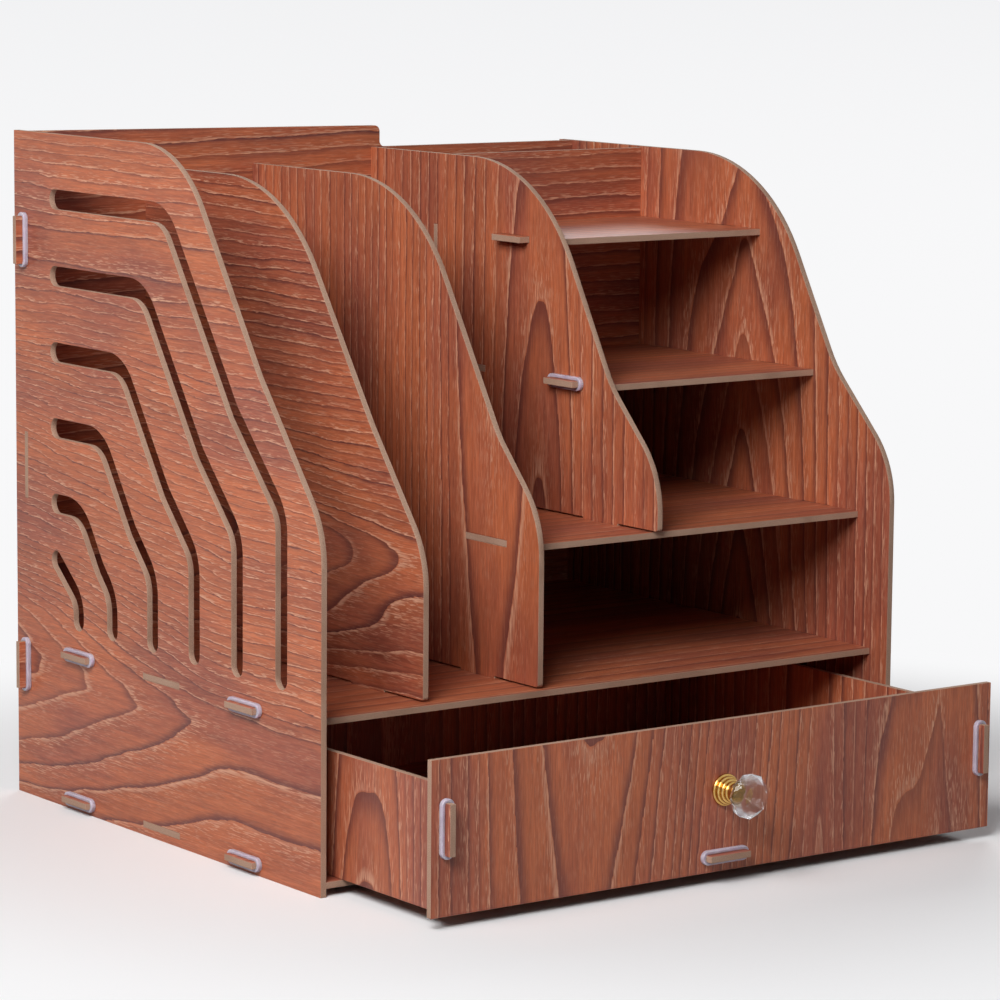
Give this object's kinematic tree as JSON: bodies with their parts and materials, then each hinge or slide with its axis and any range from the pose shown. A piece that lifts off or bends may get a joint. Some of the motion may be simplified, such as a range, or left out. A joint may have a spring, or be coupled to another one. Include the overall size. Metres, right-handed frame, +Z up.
{
  "type": "desk organizer with drawer",
  "caption": "Flat-pack desk organizer of thin wood-grain boards: upright file slots, stepped shelves, a pen box and a wide drawer with a faceted knob below.",
  "frame": {"origin": "on the desk, under the middle of the back panel's lower edge", "axes": "+X to the right seen from the front, -Y towards the front where the drawer opens, +Z up"},
  "size_m": [0.447, 0.4795, 0.423],
  "materials": {
    "wood_board": "satin wood-grain film on thin board",
    "ring_plastic": "milky translucent plastic",
    "gold": "polished gold plating",
    "crystal": "clear faceted",
    "steel": "zinc plated"
  },
  "bodies": {
    "carcass": {"left_side_panel": "wood_board", "right_side_panel": "wood_board", "back_panel": "wood_board", "bottom_board": "wood_board", "drawer_deck": "wood_board", "file_divider_left": "wood_board", "file_divider_right": "wood_board", "lower_shelf": "wood_board", "shelf_divider": "wood_board", "middle_shelf": "wood_board", "top_shelf": "wood_board", "pen_wall": "wood_board", "left_panel_rings": "ring_plastic", "right_panel_rings": "ring_plastic", "shelf_divider_ring": "ring_plastic"},
    "drawer": {"drawer_front": "wood_board", "drawer_left_side": "wood_board", "drawer_right_side": "wood_board", "drawer_back": "wood_board", "drawer_bottom": "wood_board", "drawer_front_rings": "ring_plastic", "drawer_back_rings": "ring_plastic", "knob_base": "gold", "knob_crystal": "crystal", "knob_washer": "steel", "knob_screw": "steel"}
  },
  "joints": [
    {"name": "drawer_slide", "type": "slide", "parent": "carcass", "child": "drawer", "axis": [0, -1, 0], "range_m": [-0.0957, 0.124]}
  ]
}
